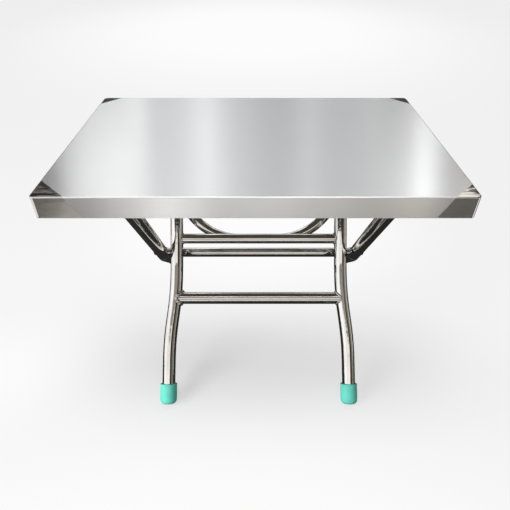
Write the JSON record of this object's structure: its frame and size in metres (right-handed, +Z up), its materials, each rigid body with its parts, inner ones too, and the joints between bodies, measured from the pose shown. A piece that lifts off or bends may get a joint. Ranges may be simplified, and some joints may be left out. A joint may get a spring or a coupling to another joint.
{
  "type": "folding steel table",
  "caption": "Folding table: sheet-steel clad top with a folded rim and corner caps on two crossed, hinged tube frames with rubber-capped feet.",
  "frame": {"origin": "on the floor, under the middle of the table", "axes": "+Z up, front (the inner frame's feet) towards -Y, +X to the right as seen from the front"},
  "size_m": [1, 0.74, 0.74],
  "materials": {
    "sheet_steel": "satin, fine straight grain",
    "cap_steel": "mirror polished",
    "tube_steel": "polished tube",
    "bracket_steel": "mill finish",
    "fastener": "bright",
    "mint_rubber": "matt to semi-gloss",
    "board": "raw board",
    "nylon": "matt"
  },
  "bodies": {
    "inner_frame": {"inner_leg_left": "tube_steel", "inner_leg_right": "tube_steel", "inner_top_bar": "tube_steel", "upper_bar": "tube_steel", "lower_bar": "tube_steel", "arch_brace": "tube_steel", "foot_front_left": "mint_rubber", "foot_front_right": "mint_rubber", "pivot_bolt_left": "fastener", "pivot_bolt_right": "fastener", "pivot_nut_left": "fastener", "pivot_nut_right": "fastener", "spacer_left": "fastener", "spacer_right": "fastener"},
    "outer_frame": {"outer_leg_left": "tube_steel", "outer_leg_right": "tube_steel", "outer_top_bar": "tube_steel", "rear_bar": "tube_steel", "foot_rear_left": "mint_rubber", "foot_rear_right": "mint_rubber"},
    "hinge_bushes": {"bush_left": "nylon", "bush_right": "nylon"},
    "tabletop": {"top_skin": "sheet_steel", "core_board": "board", "strip_front": "board", "strip_rear": "board", "strip_left": "board", "strip_right": "board", "cap_fl": "cap_steel", "cap_fr": "cap_steel", "cap_rl": "cap_steel", "cap_rr": "cap_steel", "stop_left": "nylon", "stop_right": "nylon", "clamp_left": "bracket_steel", "clamp_right": "bracket_steel", "clamp_screws": "fastener"}
  },
  "joints": [
    {"name": "frame_fold", "type": "hinge", "parent": "inner_frame", "child": "outer_frame", "pos_m": [0, -0.028, 0.36], "axis": [-1, 0, 0], "range_deg": [0, 62]},
    {"name": "bush_follow", "type": "hinge", "parent": "inner_frame", "child": "hinge_bushes", "pos_m": [0, 0.223, 0.6925], "axis": [-1, 0, 0], "range_deg": [0, 31]},
    {"name": "top_lift", "type": "hinge", "parent": "hinge_bushes", "child": "tabletop", "pos_m": [0, 0.223, 0.6925], "axis": [-1, 0, 0], "range_deg": [0, 70]}
  ],
  "couplings": [
    {"joint": "bush_follow", "follows": "frame_fold", "ratio": 0.5}
  ]
}
